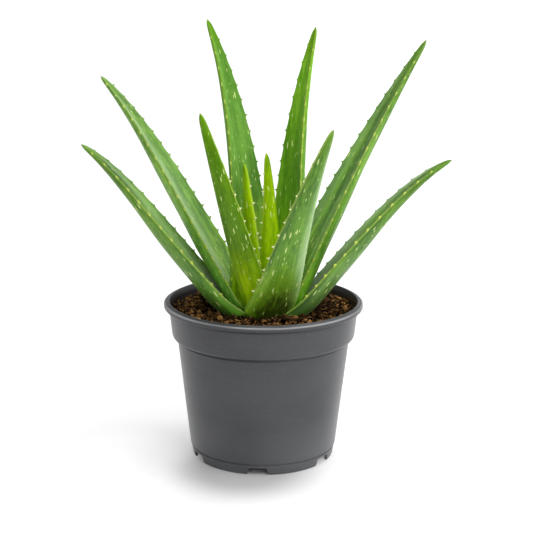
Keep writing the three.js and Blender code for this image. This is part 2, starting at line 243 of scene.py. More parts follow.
def make_object(name, points, faces, material, attributes=None):
    """A smooth-shaded mesh object from millimetre points. Attributes: name to point values."""
    mesh = bpy.data.meshes.new(name)
    mesh.from_pydata((np.asarray(points, float) * MM).tolist(), [], faces)
    mesh.validate()
    mesh.shade_smooth()
    for key, values in (attributes or {}).items():
        values = np.asarray(values, np.float32)
        kind, field = ("FLOAT_VECTOR", "vector") if values.ndim == 2 else ("FLOAT", "value")
        layer = mesh.attributes.new(key, kind, "POINT")
        layer.data.foreach_set(field, values.ravel())
    mesh.materials.append(material)
    piece = bpy.data.objects.new(name, mesh)
    bpy.context.scene.collection.objects.link(piece)
    return piece


def skin_faces(rings, count):
    """Quads over rings of count points, and two fans on the last two points that close the ends."""
    faces = []
    for r in range(rings - 1):
        for k in range(count):
            a, b = r * count + k, r * count + (k + 1) % count
            faces.append((a, b, b + count, a + count))
    start, end, last = rings * count, rings * count + 1, (rings - 1) * count
    for k in range(count):
        faces.append((start, (k + 1) % count, k))
        faces.append((end, last + k, last + (k + 1) % count))
    return faces


def shifted(faces, offset):
    """The same faces over points that come after offset others."""
    return [tuple(i + offset for i in face) for face in faces]


def finish_piece(piece, node):
    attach(piece, "root")
    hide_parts(node)


def make_piece(name, node, slot, *shape):
    """A piece in the place of a node, from what make_object takes after the name."""
    finish_piece(make_object(name, *shape), node)


def seeded_random(seed):
    """The same plain generator as the solids use, so that the teeth stand where theirs do."""
    state = seed
    while True:
        state = (state * 1664525 + 1013904223) % 4294967296
        yield state / 4294967296


# ---- helpers: materials
def colour(hexed):
    """Linear RGBA of a #rrggbb colour."""
    parts = [int(hexed[k:k + 2], 16) / 255 for k in (1, 3, 5)]
    return tuple(c / 12.92 if c <= 0.04045 else ((c + 0.055) / 1.055) ** 2.4 for c in parts) + (1,)


class Nodes:
    """Short ways to add nodes to a new material or world; values or sockets go in as inputs."""

    def __init__(self, owner):
        owner.use_nodes = True
        self.owner, self.tree = owner, owner.node_tree
        self.shader = self.tree.nodes.get("Principled BSDF")

    def set(self, socket, value):
        if isinstance(value, str):
            value = colour(value)
        if isinstance(value, bpy.types.NodeSocket):
            self.tree.links.new(value, socket)
        else:
            socket.default_value = value

    def add(self, kind, inputs=(), **settings):
        node = self.tree.nodes.new(kind)
        for key, value in settings.items():
            setattr(node, key, value)
        for key, value in dict(inputs).items():
            self.set(node.inputs[key], value)
        return node

    def attribute(self, name, output="Vector"):
        return self.add("ShaderNodeAttribute", attribute_name=name).outputs[output]

    def parts(self, vector):
        """The three numbers of a vector."""
        return self.add("ShaderNodeSeparateXYZ", {0: vector}).outputs

    def math(self, operation, *values):
        node = self.add("ShaderNodeMath", operation=operation)
        for socket, value in zip(node.inputs, values):
            self.set(socket, value)
        return node.outputs[0]

    def product(self, *values):
        return functools.reduce(functools.partial(self.math, "MULTIPLY"), values)

    def weighted(self, *terms):
        """Sum of terms, each the product of a value and its weight."""
        return functools.reduce(functools.partial(self.math, "ADD"),
                                [self.product(*term) for term in terms])

    def scaled(self, vector, scale):
        return self.add("ShaderNodeVectorMath", {0: vector, 1: scale},
                        operation="MULTIPLY").outputs[0]

    def ramp(self, value, low, high, to_low=0.0, to_high=1.0):
        """Smooth step of a value between low and high."""
        inputs = {"Value": value, "From Min": low, "From Max": high, "To Min": to_low,
                  "To Max": to_high}
        return self.add("ShaderNodeMapRange", inputs, interpolation_type="SMOOTHSTEP").outputs[0]

    def noise(self, vector, scale, detail=2.0, roughness=0.5):
        inputs = {"Vector": vector, "Scale": scale, "Detail": detail, "Roughness": roughness}
        return self.add("ShaderNodeTexNoise", inputs).outputs[0]

    def mix(self, factor, a, b, blend="MIX"):
        node = self.add("ShaderNodeMix", data_type="RGBA", blend_type=blend)
        for socket, value in zip((node.inputs[0], node.inputs[6], node.inputs[7]), (factor, a, b)):
            self.set(socket, value)
        return node.outputs[2]

    def bump(self, height, distance, strength):
        inputs = {"Height": height, "Distance": distance, "Strength": strength}
        return self.add("ShaderNodeBump", inputs).outputs[0]

    def finish(self, base, roughness, normal=None, **constants):
        self.set(self.shader.inputs["Base Color"], base)
        self.set(self.shader.inputs["Roughness"], roughness)
        if normal is not None:
            self.set(self.shader.inputs["Normal"], normal)
        for key, value in constants.items():
            self.shader.inputs[key.replace("_", " ")].default_value = value
        return self.owner


def new_material(name):
    return Nodes(bpy.data.materials.new(name))


# ---- materials
def leaf_material(name):
    """Waxy skin: banded and mottled green with pale dashes, coloured margins and teeth."""
    n, young = new_material(name), name == "aloe_young"
    specular, sheen, mottles = SKINS[name]
    place = n.attribute("leaf_place")  # across and along the skin, in mm, and the leaf's offset
    tone = n.attribute("leaf_tone", "Color")
    rim = n.attribute("leaf_rim", "Color")
    margin, share, nodule = n.parts(n.attribute("leaf_edge"))  # mm to the margin, share, 0 to 1
    wax, spots, tooth = n.parts(n.attribute("leaf_look"))
    inside, dark, highlight_stripe = n.parts(n.attribute("leaf_zone"))  # strengths, from leaf_zones

    def skin_noise(across, along, detail, roughness=0.5):
        """Noise with this many waves to a mm each way, different from leaf to leaf."""
        return n.noise(n.scaled(place, (across, along, 0.5)), 1.0, detail, roughness)

    # Mottling: lengthwise bands, clouds, blotches and thin streaks, from deep to light green.
    bands = skin_noise(0.16, 0.009, 2)
    clouds = skin_noise(0.09, 0.022, 3)
    blotches = skin_noise(0.4, 0.13, 3, 0.6)
    streaks = skin_noise(0.95, 0.03, 3, 0.6)
    depth = n.weighted((bands, 0.32), (clouds, 0.22), (blotches, 0.24), (streaks, 0.22))
    depth = n.ramp(depth, 0.39, 0.61, *mottles)
    skin = n.mix(n.product(inside, 0.6), tone, "#94c404")
    skin = n.mix(1.0, skin, n.mix(depth, DEEP_TINT, LIGHT_TINT), "MULTIPLY")
    grooves = n.product(n.ramp(streaks, 0.5, 0.38), inside, 0.3)
    skin = n.mix(grooves, skin, "#2c4a10")

    # Grey wax, thicker in some patches and thin at the margins, the foot and the tip.
    patches = skin_noise(0.06, 0.014, 3)
    film = n.product(n.ramp(patches, 0.35, 0.65, 0.3, 1.0), wax,
                     n.ramp(margin, 1.0, 4.0, 0.2, 0.8), n.ramp(share, 0.0, 0.24, 0.2, 1.0),
                     n.ramp(share, 0.88, 0.5))
    skin = n.mix(film, skin, "#93bd72")
    # Painted highlights: pale bands along the upper face and, as painted light, on the back's
    # flank.
    pale = n.product(highlight_stripe, n.ramp(streaks, 0.3, 0.6, 0.45, 0.95))
    skin = n.mix(pale, skin, "#bad8a2")

    # The foot is olive, then dark, on the back of the outer leaves, in a ragged patch: partly the
    #     # foot's own colour and partly painted shade.
    ragged = n.product(n.math("SUBTRACT", blotches, 0.5), 2.2)
    ragged = n.product(dark, n.math("ADD", ragged, 1.0))
    skin = n.mix(n.product(n.ramp(ragged, 0.05, 0.5), 0.75), skin, "#5c8410")
    skin = n.mix(n.product(n.ramp(ragged, 0.35, 1.35), 0.95), skin, "#2a3603")

    # Pale dashes a few mm long, of varied size; part of the places stay empty.
    groups = n.ramp(skin_noise(0.07, 0.03, 1), 0.3, 0.6, 0.5, 1.1)

    def dashes(across, along, size, empty, shift):
        """A dash in each cell, across by along mm; empty is the share of cells without one."""
        at = n.scaled(place, (1 / across, 1 / along, 1.0))
        at = n.add("ShaderNodeVectorMath", {0: at, 1: (shift, shift * 1.7, 0)}).outputs[0]
        inputs = {"Vector": at, "Scale": 1.0, "Randomness": 0.95}
        cells = n.add("ShaderNodeTexVoronoi", inputs, voronoi_dimensions="2D")
        chance = n.add("ShaderNodeSeparateColor", {0: cells.outputs["Color"]}).outputs[0]
        reach = n.product(n.ramp(chance, empty, 1.0, 0.0, size), spots, groups)
        return n.ramp(cells.outputs["Distance"], reach, n.product(reach, 0.4))

    large, small = (0.22, 0.0, 5.3) if young else (0.21, 0.15, 0.0), (0.17, 0.55, 31.0)
    spot = n.math("MAXIMUM", dashes(3.8, 18.0, *large), dashes(2.4, 12.0, *small))
    spot = n.product(spot, n.ramp(margin, 0.9, 1.8))
    skin = n.mix(n.product(spot, 0.85), skin, "#d2e27c" if young else "#cfe08c")

    # Yellow-green towards the tip; the margin's own colour, with a pale bead at each tooth and
    # between them; the teeth; a brown point.
    skin = n.mix(n.ramp(share, 0.84, 0.98, 0.0, 0.8), skin, "#5e8c0c")
    line = n.ramp(n.math("ADD", margin, n.product(blotches, 0.8)), 1.7, 1.1)
    skin = n.mix(n.product(line, 0.9), skin, rim)
    inputs = {"W": n.product(n.parts(place)[1], 1 / BEAD_SPACING), "Scale": 1.0,
              "Randomness": 0.7}
    row = n.add("ShaderNodeTexVoronoi", inputs, voronoi_dimensions="1D")
    row = n.ramp(row.outputs["Distance"], 0.24, 0.12, 0.0, 0.8)
    bead = n.math("MAXIMUM", n.ramp(nodule, 0.35, 0.85), row)
    bead = n.product(bead, n.ramp(margin, 0.95, 0.45), n.ramp(share, 0.95, 0.6, 0.35, 1.0))
    skin = n.mix(n.product(bead, 0.85), skin, n.attribute("bead_tone", "Color"))
    skin = n.mix(n.ramp(tooth, 0.05, 0.6), skin, n.attribute("tooth_tone", "Color"))
    skin = n.mix(n.ramp(share, 0.994, 0.999), skin, "#7d6a24")

    # Surface: lengthwise ribs, a fine grain and dashes that stand a little proud.
    grain = skin_noise(2.6, 1.5, 2)
    height = n.weighted((streaks, 0.6), (grain, 0.14), (spot, 0.1), (blotches, 0.3))
    rough = n.math("ADD", n.ramp(clouds, 0.3, 0.7, 0.36, 0.46), n.product(film, 0.14))
    return n.finish(
        skin, rough, n.bump(height, 0.0006, 0.5), Specular_IOR_Level=specular,
        Sheen_Weight=sheen, Sheen_Roughness=0.3, Sheen_Tint=(0.9, 1.0, 0.7, 1.0),
        Subsurface_Weight=0.08, Subsurface_Scale=0.003, Subsurface_Radius=(0.7, 1.0, 0.15))


def pot_material():
    """Moulded dark grey plastic: satin, with a fine grain and faint flow streaks. Painted light
    makes it paler towards the foot, painted shade darkens its creases and a painted highlight
    lies along the rim.
    """
    n = new_material("pot_plastic")
    at = n.add("ShaderNodeTexCoord").outputs["Object"]
    clouds = n.noise(n.scaled(at, (22, 22, 30)), 1.0, 3.0)
    streaks = n.noise(n.scaled(at, (60, 60, 900)), 1.0, 2.0)
    grain = n.noise(at, 1500, 2.0, 0.6)
    flecks = n.noise(at, 420, 1.0)
    base = n.mix(n.ramp(clouds, 0.3, 0.7), "#36373a", "#3d3e41")
    base = n.mix(n.ramp(streaks, 0.45, 0.75, 0.0, 0.1), base, "#54555a")
    base = n.mix(n.ramp(flecks, 0.66, 0.76, 0.0, 0.12), base, "#6f7072")
    x, y, z = n.parts(at)
    # Painted light: paler in patches towards the foot.
    foot_light = n.product(n.ramp(z, 0.045, 0.0), n.ramp(clouds, 0.2, 0.7, 0.5, 0.9))
    base = n.mix(foot_light, base, "#56575a")
    radius = n.math("SQRT", n.weighted((x, x), (y, y)))

    def band(height, width, least, strength):
        """Strength near a height, outside a radius."""
        off = n.math("ABSOLUTE", n.math("SUBTRACT", z, height * MM))
        return n.product(n.ramp(off, width * MM, 0.0),
                         n.ramp(radius, (least - 0.2) * MM, least * MM, 0.0, strength))

    # Painted shade: dark bands in the creases under the rim, under the ledge and at the foot's
    # step.
    for crease in POT_CREASE_SHADE:
        base = n.mix(band(*crease), base, "#111112")
    # Painted highlight: a pale band along the rim's top.
    rim_highlight = n.product(band(*POT_RIM_HIGHLIGHT, 1.0), n.ramp(clouds, 0.2, 0.6, 0.35, 0.8))
    base = n.mix(rim_highlight, base, "#9a9b9d")
    rough = n.math("ADD", n.ramp(clouds, 0.3, 0.7, 0.3, 0.36),
                   n.product(n.math("SUBTRACT", grain, 0.5), 0.12))
    height = n.weighted((grain, 0.6), (streaks, 0.15))
    return n.finish(base, rough, n.bump(height, 0.0001, 0.5), Specular_IOR_Level=0.43)


def soil_material():
    """Moist peat: each crumb has its own brown, pitted and flecked, over a near-black bed. The
    tones carry painted shade low between the crumbs, under the leaves and in the bed.
    """
    n = new_material("soil")
    at = n.add("ShaderNodeTexCoord").outputs["Object"]
    tone = n.attribute("crumb_tone", "Fac")
    pale = n.attribute("crumb_pale", "Fac")
    lumps = n.noise(at, 600, 4.0, 0.65)
    fine = n.noise(at, 1900, 3.0, 0.7)
    brown = n.mix(tone, "#040201", "#d09658")
    brown = n.mix(n.ramp(lumps, 0.52, 0.38, 0.0, 0.75), brown, "#0a0502")
    flecks = n.product(n.ramp(fine, 0.54, 0.72), n.ramp(tone, 0.05, 0.5, 0.0, 0.6))
    brown = n.mix(flecks, brown, "#cc9458")
    brown = n.mix(pale, brown, "#c3a274")
    height = n.weighted((lumps, 0.7), (fine, 0.4))
    return n.finish(brown, n.ramp(lumps, 0.3, 0.7, 0.75, 0.95), n.bump(height, 0.0012, 1.0),
                    Specular_IOR_Level=0.06)


def stock_material():
    """Fibrous pale stem with brown scars."""
    n = new_material("rootstock")
    at = n.add("ShaderNodeTexCoord").outputs["Object"]
    fibres = n.noise(n.scaled(at, (900, 900, 120)), 1.0, 3.0)
    patches = n.noise(at, 160, 3.0)
    base = n.mix(n.ramp(patches, 0.35, 0.65), "#8f9a4f", "#6f6a3c")
    base = n.mix(n.ramp(fibres, 0.5, 0.7, 0.0, 0.6), base, "#4a3a22")
    return n.finish(base, n.ramp(fibres, 0.3, 0.7, 0.6, 0.8), n.bump(fibres, 0.0005, 0.7))


def floor_material():
    """A matt floor that glows as painted light, except round the pot's foot, where that paints a
    shadow.
    """
    n = new_material("floor")
    at = n.add("ShaderNodeTexCoord").outputs["Object"]

    def patch(centre, radii, *strengths):
        centre = (centre[0] * MM, centre[1] * MM, 0)
        away = n.add("ShaderNodeVectorMath", {0: at, 1: centre}, operation="DISTANCE").outputs[1]
        return n.ramp(away, radii[0] * MM, radii[1] * MM, *strengths)

    glow = n.ramp(n.parts(at)[0], -GLOW_REACH * MM, GLOW_REACH * MM, *FLOOR_GLOW)
    glow = n.math("ADD", glow, patch(*FILL, FILL_STRENGTH, 0.0))
    glow = n.product(glow, patch(*SHADE))
    n.set(n.shader.inputs["Emission Strength"], glow)
    base = n.mix(n.noise(at, 3.0), *FLOOR_TONES)
    return n.finish(base, 0.6, Specular_IOR_Level=0.1, Emission_Color=(1.0, 1.0, 1.0, 1.0))


# ---- pot
def rounded(corners, steps=5):
    """Profile through (radius, z, fillet) corners, each fillet a short arc of points."""
    profile = []
    for k, (r, z, fillet) in enumerate(corners):
        here = np.array((r, z), float)
        if not fillet:
            profile.append(here)
            continue
        ends = []
        for other in (corners[k - 1], corners[k + 1]):
            way = np.array(other[:2], float) - here
            length = np.linalg.norm(way)
            ends.append(here + way / length * min(fillet, length / 2))
        for u in np.linspace(0, 1, steps):
            profile.append((1 - u) ** 2 * ends[0] + 2 * u * (1 - u) * here + u * u * ends[1])
    return np.array(profile)


def turned(profile, sides):
    """Points and faces of a profile turned round Z; it starts and ends on the axis."""
    angles = np.linspace(0, 2 * np.pi, sides, endpoint=False)
    rings = [np.stack([r * np.cos(angles), r * np.sin(angles), np.full(sides, z)], -1)
             for r, z in profile[1:-1]]
    points = np.concatenate(rings + [[(0, 0, profile[0][1])], [(0, 0, profile[-1][1])]])
    return points, skin_faces(len(rings), sides)


def wall_radius(z):
    share = (z - FOOT_STEP_Z) / (LEDGE_Z - FOOT_STEP_Z)
    return WALL_FOOT_RADIUS + share * (WALL_TOP_RADIUS - WALL_FOOT_RADIUS)


def boolean_cut(piece, cutter):
    """Cuts the cutter out of the piece and removes it."""
    cut = piece.modifiers.new("cut", "BOOLEAN")
    cut.operation, cut.solver, cut.object = "DIFFERENCE", "EXACT", cutter
    made = bpy.data.meshes.new_from_object(
        piece.evaluated_get(bpy.context.evaluated_depsgraph_get()))
    piece.modifiers.clear()
    piece.data = made
    bpy.data.objects.remove(cutter)


def notch_prism(turn):
    """Trapezoid through the foot ring, narrower at the top."""
    low, high = FOOT_RADIUS - 8, FOOT_RADIUS + 4
    shape = [(-NOTCH_BOTTOM / 2, -2), (NOTCH_BOTTOM / 2, -2), (NOTCH_BOTTOM / 2, 0),
             (NOTCH_TOP / 2, FLOOR_Z - 0.02), (-NOTCH_TOP / 2, FLOOR_Z - 0.02),
             (-NOTCH_BOTTOM / 2, 0)]
    points = [(x, -low, z) for x, z in shape] + [(x, -high, z) for x, z in shape]
    around = Matrix.Rotation(math.radians(turn), 3, "Z")
    count = len(shape)
    faces = [tuple(range(count))[::-1], tuple(range(count, 2 * count))]
    faces += [(k, (k + 1) % count, (k + 1) % count + count, k + count) for k in range(count)]
    return [tuple(around @ Vector(p)) for p in points], faces


def drain_cylinder(turn, sides=32):
    """A cylinder through the pot's floor."""
    around = math.radians(turn)
    x, y = DRAIN_CIRCLE * math.sin(around), -DRAIN_CIRCLE * math.cos(around)
    low, high = FLOOR_Z - 2, FLOOR_Z + WALL + 2
    points, faces = turned([(0, low), (DRAIN_RADIUS, low), (DRAIN_RADIUS, high), (0, high)], sides)
    return (points + np.array((x, y, 0))).tolist(), faces


def build_pot():
    """Turned from the underside up the outside, over the rolled rim and down the inside."""
    rim = POT_HEIGHT - RIM_HEIGHT
    ring = FOOT_RADIUS - FOOT_RING_WIDTH
    profile = rounded([
        (0, FLOOR_Z, 0), (ring, FLOOR_Z, 0.6), (ring, 0, 0.5), (FOOT_RADIUS, 0, 0.6),
        (FOOT_RADIUS + 1.2, FOOT_STEP_Z - 1.6, 0.3), (FOOT_RADIUS + 0.5, FOOT_STEP_Z - 1.0, 0.2),
        (FOOT_RADIUS + 0.5, FOOT_STEP_Z, 0.2), (WALL_FOOT_RADIUS, FOOT_STEP_Z + 0.1, 0.4),
        (wall_radius(50), 50, 0), (wall_radius(LEDGE_Z - 2.4), LEDGE_Z - 2.4, 0.3),
        (wall_radius(LEDGE_Z) - 0.7, LEDGE_Z - 1.6, 0.4),
        (wall_radius(LEDGE_Z) - 0.7, LEDGE_Z + 0.1, 0.2),
        (COLLAR_FOOT_RADIUS - 0.7, LEDGE_Z + 0.1, 0.6),
        (COLLAR_FOOT_RADIUS + 0.1, LEDGE_Z + 1.8, 1.0),
        (COLLAR_TOP_RADIUS, rim - 1.2, 0.4), (COLLAR_TOP_RADIUS - 0.5, rim + 0.1, 0.3),
        (RIM_RADIUS - 0.7, rim + 0.1, 0.3), (RIM_RADIUS, rim + 0.8, 0.5),
        (RIM_RADIUS, POT_HEIGHT - 1.8, 0.7), (RIM_RADIUS - 0.9, POT_HEIGHT - 1.2, 0.5),
        (RIM_RADIUS - 2.5, POT_HEIGHT - 1.1, 0.4), (RIM_RADIUS - 3.3, POT_HEIGHT, 0.35),
        (RIM_RADIUS - 4.2, POT_HEIGHT - 0.1, 0.4),
        (COLLAR_TOP_RADIUS - WALL, POT_HEIGHT - 5, 2.0),
        (COLLAR_FOOT_RADIUS - WALL, LEDGE_Z + 1.5, 1.5),
        (wall_radius(LEDGE_Z - 2.5) - WALL, LEDGE_Z - 2.5, 1.5),
        (wall_radius(FLOOR_Z + WALL + 2) - WALL, FLOOR_Z + WALL + 2, 1.5),
        (wall_radius(FLOOR_Z + WALL) - WALL - 1.5, FLOOR_Z + WALL, 1.0),
        (0, FLOOR_Z + WALL, 0),
    ])
    points, faces = turned(profile, POT_SIDES)
    pot = make_object("pot_shell", points, faces, pot_material())
    cut_points, cut_faces = [], []
    for k in range(NOTCH_COUNT):
        turn = NOTCH_TURN + 360 / NOTCH_COUNT * k
        for shape, skin in (notch_prism(turn), drain_cylinder(turn)):
            cut_faces += shifted(skin, len(cut_points))
            cut_points += [tuple(p) for p in shape]
    cutter = make_object("pot_cutter", cut_points, cut_faces, pot.data.materials[0])
    boolean_cut(pot, cutter)
    pot.data.shade_smooth()
    pot.data.set_sharp_from_angle(angle=math.radians(40))
    finish_piece(pot, "pot")


# ---- leaves
def look_of(leaf):
    """Its looks, with the usual value of each one that its row leaves out."""
    look = LOOKS[leaf["name"]]
    return {**USUAL_LOOKS, "foot_back": look["foot"], **look}


def rotate_about(vectors, axes, angles):
    """Each vector turned about its axis, which is at right angles to it."""
    c, s = np.cos(angles)[:, None], np.sin(angles)[:, None]
    return vectors * c + np.cross(axes, vectors) * s


def leaf_frames(leaf, shares):
    """Place, direction, face normal and side of the sections at these shares of the length."""
    def heading(t):
        azimuth = np.radians(leaf["azimuth"] + leaf["turn"] * t)
        lean = np.radians(leaf["lean"] - leaf["fall"] * t ** leaf["bend"])
        out = np.stack([np.sin(azimuth), -np.cos(azimuth), np.zeros_like(t)], -1)
        up = np.array((0, 0, 1.0))
        along = out * np.cos(lean)[:, None] + up * np.sin(lean)[:, None]
        face = -out * np.sin(lean)[:, None] + up * np.cos(lean)[:, None]
        return along, rotate_about(face, along, np.radians(leaf["roll"] + leaf["twist"] * t))

    fine = np.linspace(0, 1, 401)
    steps = heading((fine[1:] + fine[:-1]) / 2)[0] * leaf["length"] / (len(fine) - 1)
    out, up = leaf["foot"]
    a = math.radians(leaf["azimuth"])
    foot = np.array((out * math.sin(a), -out * math.cos(a), up))
    path = np.vstack([foot, foot + np.cumsum(steps, 0)])
    shares = np.asarray(shares, float)
    place = np.stack([np.interp(shares, fine, path[:, k]) for k in range(3)], -1)
    along, face = heading(shares)
    side = np.cross(face, along)
    slip, tuck = (leaf.get(key, 0) * np.clip(1 - shares / end, 0, 1)[:, None] ** 2
                  for key, end in (("slip", SLIP_END), ("tuck", TUCK_END)))
    inward = np.array((-math.sin(a), math.cos(a), 0))
    return place + side * slip + inward * tuck, along, face, side


def leaf_width(leaf, share):
    """Tapers to a rounded tip."""
    left = (1 - share) * leaf["length"]
    taper = leaf["width"] * (left / leaf["length"]) ** TAPER
    return taper + TIP_WIDTH * (1 - np.exp(-left / TIP_ROUNDING))


# A section's points: angles round its back, and places across its face. Then the sections'
# shares of the length, and which points lie on the upper face.
BACK = np.radians(np.linspace(177, 3, 33))
FACE = np.cos(np.radians(np.linspace(8, 172, 23)))
RIGHT = len(BACK) + 1  # index of the right margin in a section; the left one is 0
RING = len(BACK) + len(FACE) + 2
SHARES = np.concatenate([np.linspace(0, 0.94, 165, endpoint=False), np.linspace(0.94, 0.999, 24)])
UPPER = np.concatenate([[0.5], np.zeros(len(BACK)), [0.5], np.ones(len(FACE))])


def leaf_sections(width):
    """Across and up of each section's ring."""
    width = width[:, None]
    half = width / 2
    belly = width * (BELLY_AT_FOOT + BELLY_GAIN * SHARES[:, None])
    edge = np.minimum(MARGIN_THICKNESS, width / 3) / 2
    filled = smoothstep(SHARES, 0, SHEATH_END)[:, None]
    sheath = np.maximum(belly - SHEATH_THICKNESS, CHANNEL * width)
    channel = sheath + (CHANNEL * width - sheath) * filled
    zero = np.zeros_like(half)
    across = np.hstack([-half - 0.1, half * np.cos(BACK), half + 0.1, half * FACE])
    up = np.hstack([zero, -edge - (belly - edge) * np.sin(BACK) ** 0.85, zero,
                    edge - channel * (1 - FACE ** 2)])
    return across, up


def skin_lengths(across, up):
    """Distance over the skin from each point to the nearer margin, and from the midrib."""
    steps = np.hypot(np.diff(across, axis=1, append=across[:, :1]),
                     np.diff(up, axis=1, append=up[:, :1]))
    run = np.hstack([np.zeros((len(across), 1)), np.cumsum(steps, 1)])
    right, whole = run[:, RIGHT, None], run[:, -1:]
    run = run[:, :-1]
    margin = np.minimum(np.minimum(run, np.abs(run - right)), whole - run)
    over = np.where(np.arange(RING) <= RIGHT, run - right / 2, (whole + right) / 2 - run)
    return margin, over


def tooth_places(leaf, draw):
    """Margin (-1 or 1), distance along the leaf and size of each tooth."""
    made = []
    for way in (-1, 1):
        distance = TOOTH_FIRST + 4 * next(draw)
        while distance < leaf["length"] - TOOTH_LAST:
            t = distance / leaf["length"]
            made.append((way, distance, (1 - 0.3 * t) * (0.9 + 0.2 * next(draw))))
            distance += (TOOTH_SPACING + TOOTH_SPACING_GAIN * t) * (0.92 + 0.16 * next(draw))
    return made


def leaf_noise(across, along, seed):
    return np.array([[noise.noise(Vector((x, y, seed))) for x, y in zip(*rows)]
                     for rows in zip(across, along)])


def leaf_zones(look, across, upper):
    """How yellow the face, how dark the back (partly painted shade) and how strong a painted
    highlight is, from 0 up, at each point.
    """
    inside = smoothstep(SHARES, INNER_END, 0.06)[:, None] * upper
    middle = 1 - np.clip(np.abs(across), 0, 1) ** 2.5
    # Partly the foot's own dark colour, partly painted shade.
    dark = look["dark"] * smoothstep(SHARES, 0.4, 0.0)[:, None] * (1 - upper) * middle
    # Painted highlights: a pale band on the upper face, and painted light on the back's flank.
    place, strength = look["highlight_stripe"]
    highlight_stripe = strength * upper * np.exp(-((across - place) / HIGHLIGHT_STRIPE_WIDTH) ** 2)
    place, strength = look["lit_flank"]
    highlight_stripe = highlight_stripe + strength * (1 - upper) * np.exp(-((across - place) / LIT_FLANK_WIDTH) ** 2)
    return np.stack([inside, dark, highlight_stripe * smoothstep(SHARES, 0.02, 0.2)[:, None]], -1)


def leaf_body(leaf, seed, teeth):
    """Points, faces and attributes of the leaf without its teeth."""
    width = leaf_width(leaf, SHARES)
    across, up = leaf_sections(width)
    place, _, face, side = leaf_frames(leaf, SHARES)
    length = np.repeat(SHARES[:, None] * leaf["length"], RING, 1)
    margin, over = skin_lengths(across, up)

    # Swellings of the margins at the teeth, faint waves, and ribs low on the upper face.
    nodule, swell = np.zeros_like(across), np.zeros_like(across)
    for way, distance, _ in teeth:
        past = SHARES * leaf["length"] - distance
        reach = np.where(past > 0, *SWELLING_REACH)
        there = across * way > 0
        nodule = np.maximum(nodule, np.exp(-(past / 2) ** 2)[:, None] * there)
        swell = np.maximum(swell, np.exp(-(past / reach) ** 2)[:, None] * there)
    swell = swell * smoothstep(margin, 3, 0) * smoothstep(width, 4, 12)[:, None]
    across = across * (1 + 2 * SWELLING * swell / width[:, None])
    up = up + SWELLING * swell
    body = smoothstep(width, 5, 20)[:, None] * smoothstep(margin, 0.3, 4)
    waves = leaf_noise(over * 0.07, length * 0.025, seed * RELIEF_STRIDE)
    low = smoothstep(SHARES, 0.45, 0.08)[:, None]
    ribs = leaf_noise(over * 0.42, length * 0.008, seed * RELIEF_STRIDE + 3)
    outward = np.where(UPPER > 0.5, 1, -1)
    up = up + body * (WAVE_HEIGHT * waves * outward + RIB_HEIGHT * ribs * low * (UPPER > 0.5))

    # The foot is rounded, as where a leaf springs from the stem.
    round_foot = np.clip(1 - SHARES / FOOT_ROUNDING, 0, 1)[:, None]
    pinch = np.sqrt(1 - 0.75 * round_foot ** 2)
    if leaf["name"] not in YOUNG_LEAVES:
        across = across * pinch
    points = place[:, None] + side[:, None] * across[..., None] + face[:, None] * up[..., None]
    start = place[0] + face[0] * (SHEATH_THICKNESS / 2 - BELLY_AT_FOOT * leaf_width(leaf, 0.0))
    tip = leaf_frames(leaf, [1.0])
    end = tip[0][0] - 0.3 * tip[2][0]

    count = len(SHARES) * RING
    half = width[:, None] / 2
    upper = np.tile(UPPER, (len(SHARES), 1))
    along, aside = (leaf_step * seed + face_step * upper
                    for leaf_step, face_step in zip(LEAF_STRIDE, FACE_STRIDE))
    grid = np.stack([over, length + along, aside], -1)
    ends = [(0, LEAF_STRIDE[0] * seed, LEAF_STRIDE[1] * seed)] * 2
    grid = np.vstack([grid.reshape(count, 3), ends])
    edges = np.stack([margin, np.repeat(SHARES[:, None], RING, 1), nodule], -1)
    edges = np.vstack([edges.reshape(count, 3), (9, 0, 0), (0.5, 1, 0)])
    zone = leaf_zones(look_of(leaf), across / half, upper)
    wax_face, wax_back = look_of(leaf)["wax"]
    wax = wax_back + (wax_face - wax_back) * upper
    return dict(points=np.vstack([points.reshape(-1, 3), start, end]),
                faces=skin_faces(len(SHARES), RING), place=grid, edge=edges,
                tooth=np.zeros(count + 2), wax=np.append(wax, (0, 0)),
                upper=np.append(upper, (0, 0)),
                zone=np.vstack([zone.reshape(count, 3), np.zeros((2, 3))]))


def tooth_mesh(root, out, along, face, size):
    """A small hooked cone, whose rings of points bend towards the leaf's tip."""
    rings, sides, last = 6, 7, 0.93
    angles = np.linspace(0, 2 * np.pi, sides, endpoint=False)
    points = []
    for u in np.linspace(0, last, rings):
        centre = root + out * (-TOOTH_SUNK + (TOOTH_HEIGHT + TOOTH_SUNK) * u) * size
        centre = centre + along * TOOTH_HOOK * TOOTH_HEIGHT * u ** 1.8 * size
        shrink = (1 - u) ** 0.85 * size
        for a in angles:
            points.append(centre + along * TOOTH_LENGTH * shrink * math.cos(a)
                          + face * TOOTH_THICKNESS * shrink * math.sin(a))
    points.append(root - out * TOOTH_SUNK * size)
    points.append(root + (out * TOOTH_HEIGHT + along * TOOTH_HOOK * TOOTH_HEIGHT) * size)
    height = np.append(np.repeat(np.linspace(0, last, rings), sides), (0, 1))
    return np.array(points), skin_faces(rings, sides), height


